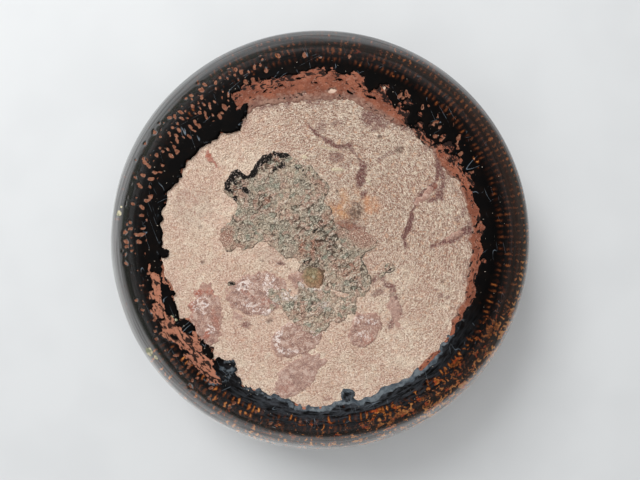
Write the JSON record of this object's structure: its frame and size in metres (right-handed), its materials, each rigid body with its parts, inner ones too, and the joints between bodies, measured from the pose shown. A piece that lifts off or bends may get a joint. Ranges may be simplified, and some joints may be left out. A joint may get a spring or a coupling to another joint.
{
  "type": "painted wooden bowl",
  "caption": "Low round turned-wood bowl with painted lacquer over a clay ground, a broad flat foot worn through to the wood, and a rounded lip.",
  "frame": {"origin": "centre of the plane that the lip rests on, with the bowl upside down", "axes": "+Z along the turning axis, from the lip up through the foot; +X and +Y in the lip's plane; turn the part 180 degrees about X to use the bowl"},
  "size_m": [0.2, 0.2, 0.074],
  "materials": {
    "lime_wood": "bare, dry and scuffed",
    "knot_wood": "bare, dark and resinous",
    "clay_ground": "matt, dry and flaking",
    "black_lacquer": "high gloss with amber brush strokes, scratched",
    "band_lacquer": "gloss",
    "gold_lacquer": "gloss, warm gold",
    "coat_crust": "blistered, matt",
    "stained_ground": "matt, rubbed thin"
  },
  "bodies": {
    "root": {"turned_body": "lime_wood", "base_knot": "knot_wood", "ground_coat": "clay_ground", "outer_lacquer": "black_lacquer", "lip_band": "band_lacquer", "inner_lacquer": "gold_lacquer", "base_crust": "coat_crust", "ground_patches": "stained_ground"}
  },
  "joints": []
}
